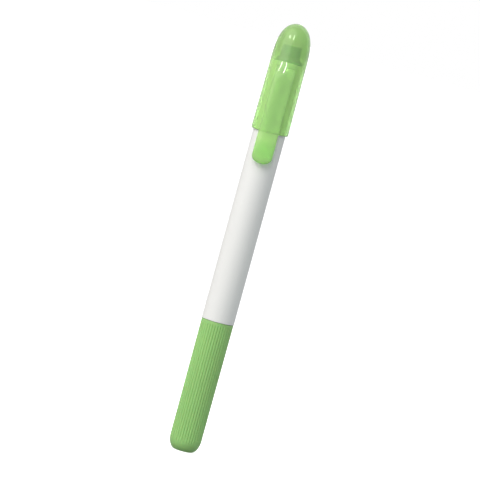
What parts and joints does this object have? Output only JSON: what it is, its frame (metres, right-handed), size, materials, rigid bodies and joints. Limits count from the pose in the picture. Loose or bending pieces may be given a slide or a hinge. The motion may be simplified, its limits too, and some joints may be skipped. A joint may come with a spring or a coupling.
{
  "type": "twist-up highlighter",
  "caption": "Slim round highlighter with a see-through domed cap, a long flat clip and a ribbed twist grip that feeds a gel stick out of its nozzle.",
  "frame": {"origin": "centre of the flat end of the twist grip, which the pen stands on", "axes": "+Z along the pen from the grip to the cap; the clip faces -Y; +X to the right when the clip faces the viewer"},
  "size_m": [0.0118, 0.0135, 0.138],
  "materials": {
    "clear_green": "polished, see-through",
    "white_body": "satin gloss",
    "tip_green": "satin gloss",
    "grip_green": "satin, ribbed",
    "natural_plastic": "milky",
    "screw_plastic": "smooth",
    "gel": "waxy",
    "silicone": "soft"
  },
  "bodies": {
    "barrel_body": {"barrel": "white_body", "nozzle": "tip_green", "guide_sleeve": "natural_plastic"},
    "cap_body": {"cap": "clear_green"},
    "grip_body": {"twist_grip": "grip_green", "lead_screw": "screw_plastic", "friction_ring": "silicone"},
    "gel_carrier": {"push_rod": "screw_plastic", "gel_cup": "natural_plastic", "gel_stick": "gel"}
  },
  "joints": [
    {"name": "cap_pull", "type": "slide", "parent": "barrel_body", "child": "cap_body", "axis": [0, 0, 1], "range_m": [0, 0.045]},
    {"name": "grip_twist", "type": "hinge", "parent": "barrel_body", "child": "grip_body", "pos_m": [0, 0, 0.02], "axis": [0, 0, 1], "range_deg": [0, 720]},
    {"name": "gel_feed", "type": "slide", "parent": "barrel_body", "child": "gel_carrier", "axis": [0, 0, 1], "range_m": [0, 0.006]}
  ],
  "couplings": [
    {"joint": "grip_twist", "follows": "gel_feed", "rad_per_m": 2094.4}
  ]
}
